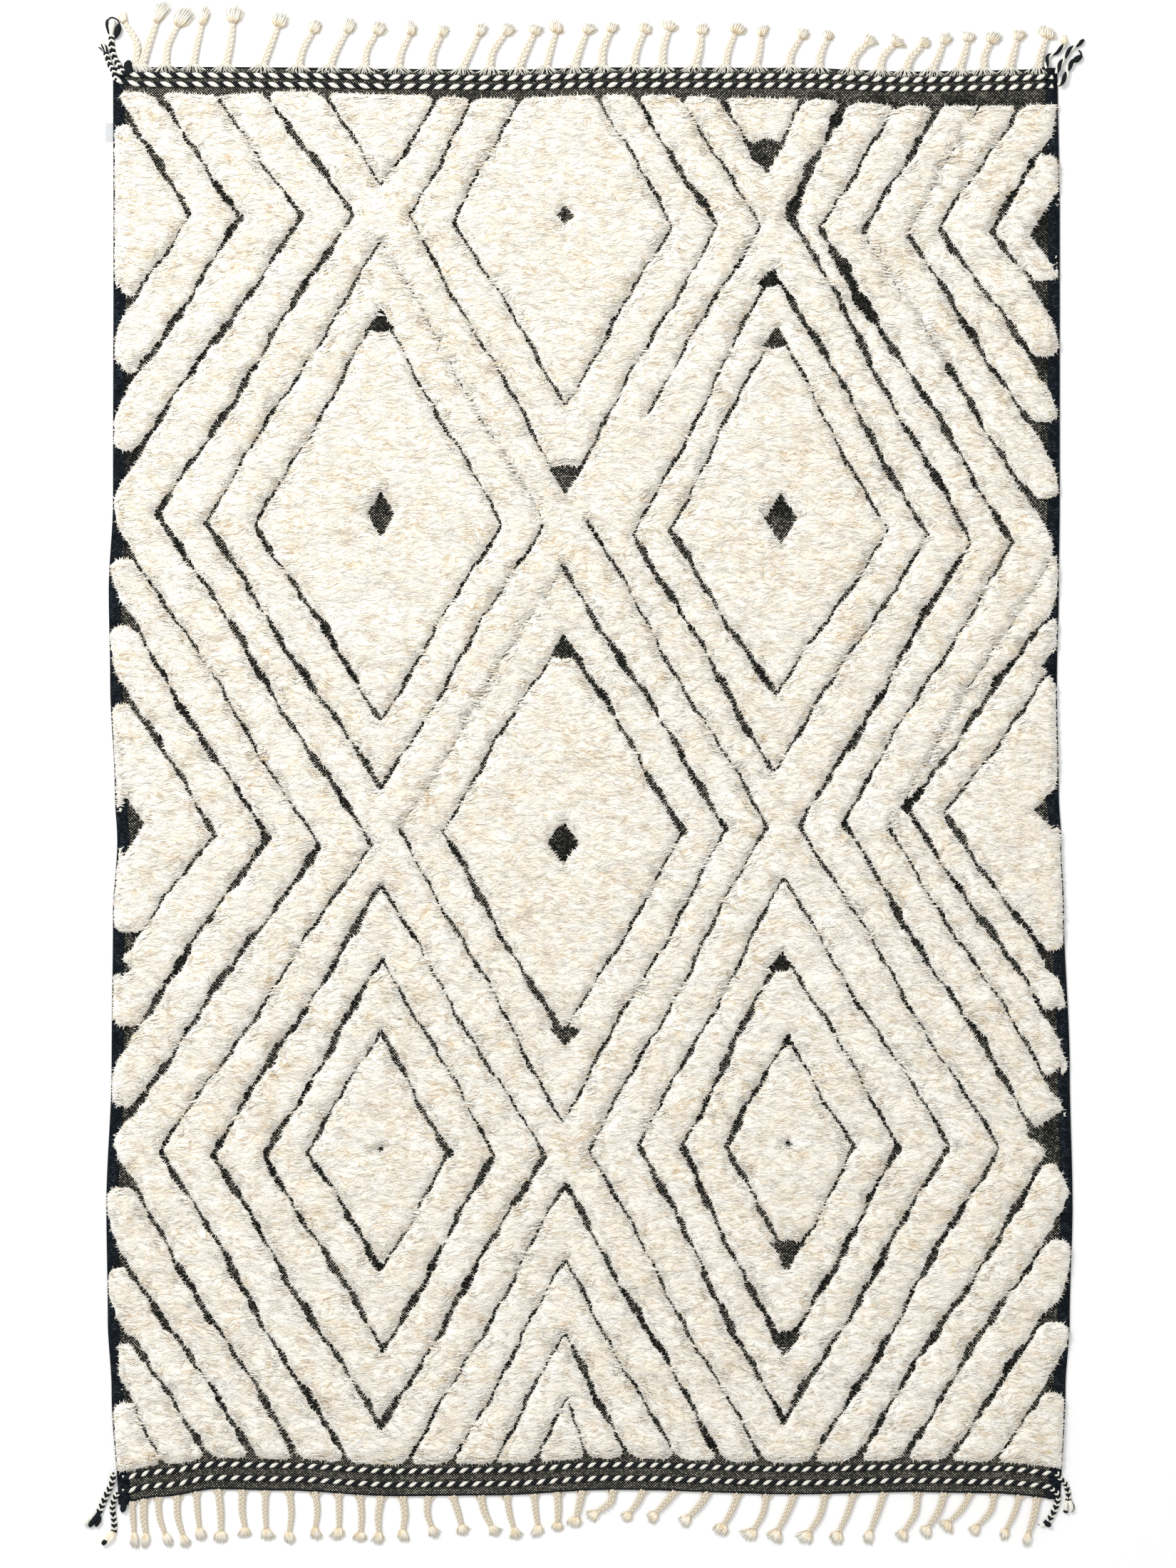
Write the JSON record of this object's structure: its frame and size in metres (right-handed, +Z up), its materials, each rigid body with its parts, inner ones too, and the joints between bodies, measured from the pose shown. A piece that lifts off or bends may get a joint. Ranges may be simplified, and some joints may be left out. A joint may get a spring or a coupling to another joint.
{
  "type": "beni ourain rug",
  "caption": "Hand-knotted cream shag rug with nested lozenges cut down to a black woven ground, with twined ends, braided fringes and corner braids.",
  "frame": {"origin": "middle of the whole footprint, fringes and corner braids included, on the floor under the rug", "axes": "+Z up; +Y along the rug's length, towards the end with the leaning braids; +X across the rug"},
  "size_m": [2.1146, 3.286, 0.0277],
  "materials": {
    "pile": "matte cut wool pile",
    "binding": "matte spun wool",
    "twine": "matte spun wool, black and white",
    "fringe": "matte cotton and wool yarn",
    "label": "smooth woven tape"
  },
  "bodies": {
    "root": {"rug_field": "pile", "selvedge_left": "binding", "selvedge_right": "binding", "twine_top_outer": "twine", "twine_top_inner": "twine", "twine_bottom_outer": "twine", "twine_bottom_inner": "twine", "fringe_top": "fringe", "fringe_bottom": "fringe", "corner_braids_top_left": "twine", "corner_braids_top_right": "twine", "corner_braids_bottom_left": "twine", "corner_braids_bottom_right": "twine", "label": "label"}
  },
  "joints": []
}
